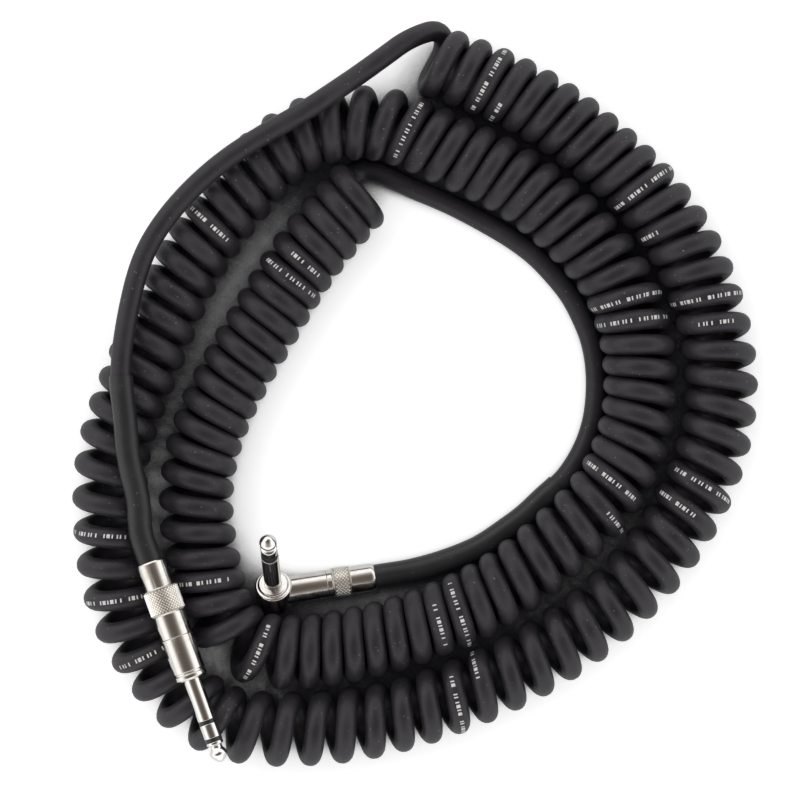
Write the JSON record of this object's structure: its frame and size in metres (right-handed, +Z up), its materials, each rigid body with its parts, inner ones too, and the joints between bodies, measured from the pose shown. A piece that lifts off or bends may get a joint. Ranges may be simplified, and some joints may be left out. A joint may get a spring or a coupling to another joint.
{
  "type": "instrument cable",
  "caption": "Curly instrument cable laid in a ring, with a straight jack plug on one end and a right-angle jack plug on the other, both with screw-on rear shells.",
  "frame": {"origin": "on the floor under the middle of the box that holds both plugs, with the cable lying in its ring", "axes": "+Z up from the floor, +Y from the straight plug's tip towards the top of the ring, +X along the right-angle plug's barrel to its rear"},
  "size_m": [0.251, 0.2746, 0.0403],
  "materials": {
    "nickel": "bright nickel plate",
    "black_insulator": "satin",
    "tinned_brass": "satin",
    "fibre": "matt",
    "clear_liner": "satin",
    "brass": "satin",
    "rubber": "matt",
    "copper": "bright",
    "white_insulation": "satin",
    "heat_shrink": "matt"
  },
  "bodies": {
    "cable": {"straight_front_body": "nickel", "straight_tip": "nickel", "straight_ring_contact": "nickel", "straight_sleeve_contact": "nickel", "straight_front_insulator": "black_insulator", "straight_rear_insulator": "black_insulator", "straight_sleeve_lug": "tinned_brass", "straight_insulating_washer": "fibre", "straight_ring_lug": "tinned_brass", "straight_tip_washer": "fibre", "straight_tip_lug": "tinned_brass", "straight_liner": "clear_liner", "straight_jacket_end": "rubber", "straight_shield_braid": "copper", "straight_core_wire": "white_insulation", "straight_shield_pigtail": "copper", "straight_heat_shrink": "heat_shrink", "angled_head": "nickel", "angled_back_plate": "nickel", "angled_tip": "nickel", "angled_insulator": "black_insulator", "angled_sleeve_contact": "nickel", "angled_sleeve_lug": "tinned_brass", "angled_insulating_washer": "fibre", "angled_tip_lug": "tinned_brass", "angled_jacket_end": "rubber", "angled_shield_braid": "copper", "angled_core_wire": "white_insulation", "angled_shield_pigtail": "copper", "angled_heat_shrink": "heat_shrink", "curly_cord": "rubber", "straight_lead": "rubber", "angled_lead": "rubber"},
    "straight_chuck": {"straight_chuck": "brass"},
    "straight_shell": {"straight_rear_shell": "nickel"},
    "angled_chuck": {"angled_chuck": "brass"},
    "angled_nut": {"angled_nut": "nickel"}
  },
  "joints": [
    {"name": "straight_chuck_slide", "type": "slide", "parent": "cable", "child": "straight_chuck", "axis": [-0.34, 0.9392, -0.0476], "range_m": [0, 0.00561]},
    {"name": "straight_shell_turn", "type": "hinge", "parent": "straight_chuck", "child": "straight_shell", "pos_m": [-0.0333, 0.01688, 0.02847], "axis": [-0.34, 0.9392, -0.0476], "range_deg": [0, 2520]},
    {"name": "angled_chuck_slide", "type": "slide", "parent": "cable", "child": "angled_chuck", "axis": [0.9858, 0.1501, -0.0756], "range_m": [0, 0.00401]},
    {"name": "angled_nut_turn", "type": "hinge", "parent": "angled_chuck", "child": "angled_nut", "pos_m": [0.033, 0.0225, 0.006], "axis": [0.9858, 0.1501, -0.0756], "range_deg": [0, 1800]}
  ],
  "couplings": [
    {"joint": "straight_chuck_slide", "follows": "straight_shell_turn", "m_per_rad": 0.00012732},
    {"joint": "angled_chuck_slide", "follows": "angled_nut_turn", "m_per_rad": 0.00012732}
  ]
}
